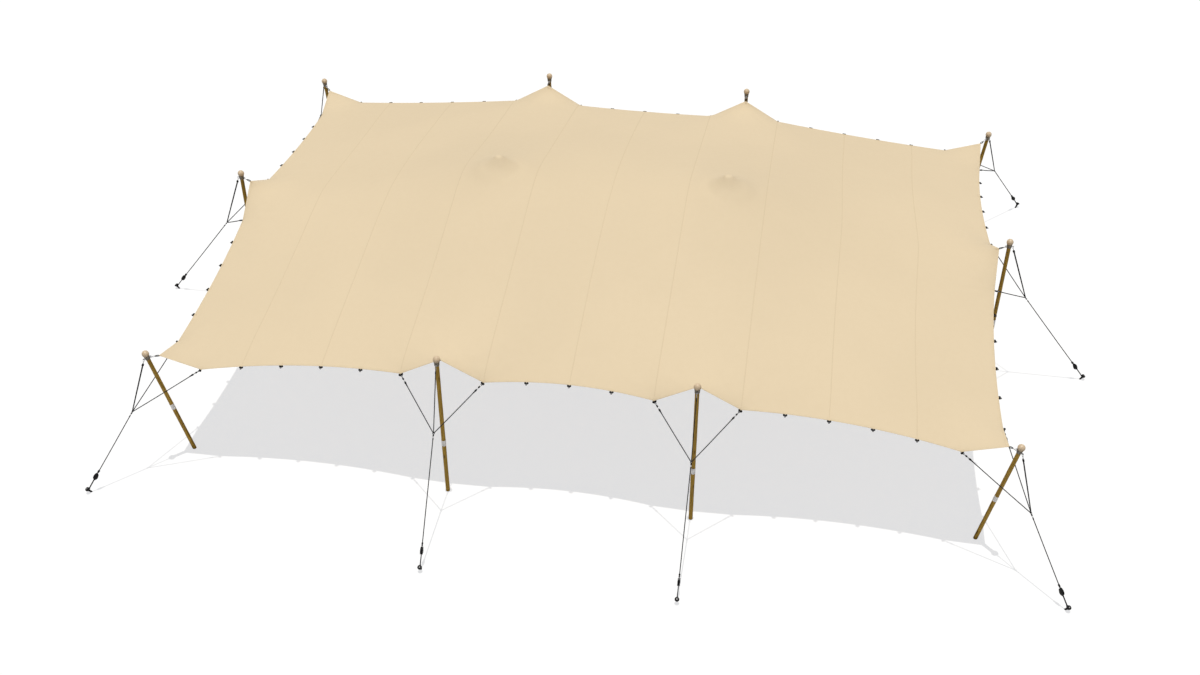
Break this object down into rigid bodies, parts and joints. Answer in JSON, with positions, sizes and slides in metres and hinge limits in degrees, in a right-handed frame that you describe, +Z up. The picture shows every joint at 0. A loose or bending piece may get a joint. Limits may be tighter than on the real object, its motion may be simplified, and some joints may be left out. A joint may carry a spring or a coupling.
{
  "type": "stretch tent",
  "caption": "Stretched fabric canopy with two peaks on leaning and upright outer poles, held by guy ropes with tensioners and ground stakes.",
  "frame": {"origin": "on the ground in the middle of the tent", "axes": "+X along the long side to the right, +Y to the rear, +Z up"},
  "size_m": [19.438, 14.454, 4.1058],
  "materials": {
    "canopy": "matt coated stretch fabric",
    "pole": "oiled timber",
    "pole_head": "matt",
    "rigging": "braided rope",
    "stake": "matt black"
  },
  "bodies": {
    "root": {"canopy": "canopy", "pole_corner_front_left": "pole", "pole_head_corner_front_left": "pole_head", "rigging_corner_front_left": "rigging", "stake_corner_front_left": "stake", "pole_front_left": "pole", "pole_head_front_left": "pole_head", "rigging_front_left": "rigging", "stake_front_left": "stake", "pole_corner_front_right": "pole", "pole_head_corner_front_right": "pole_head", "rigging_corner_front_right": "rigging", "stake_corner_front_right": "stake", "pole_front_right": "pole", "pole_head_front_right": "pole_head", "rigging_front_right": "rigging", "stake_front_right": "stake", "pole_corner_rear_left": "pole", "pole_head_corner_rear_left": "pole_head", "rigging_corner_rear_left": "rigging", "stake_corner_rear_left": "stake", "pole_rear_left": "pole", "pole_head_rear_left": "pole_head", "rigging_rear_left": "rigging", "stake_rear_left": "stake", "pole_corner_rear_right": "pole", "pole_head_corner_rear_right": "pole_head", "rigging_corner_rear_right": "rigging", "stake_corner_rear_right": "stake", "pole_rear_right": "pole", "pole_head_rear_right": "pole_head", "rigging_rear_right": "rigging", "stake_rear_right": "stake", "pole_side_left": "pole", "pole_head_side_left": "pole_head", "rigging_side_left": "rigging", "stake_side_left": "stake", "pole_side_right": "pole", "pole_head_side_right": "pole_head", "rigging_side_right": "rigging", "stake_side_right": "stake", "centre_pole_left": "pole", "centre_pole_head_left": "pole_head", "centre_pole_right": "pole", "centre_pole_head_right": "pole_head"}
  },
  "joints": []
}
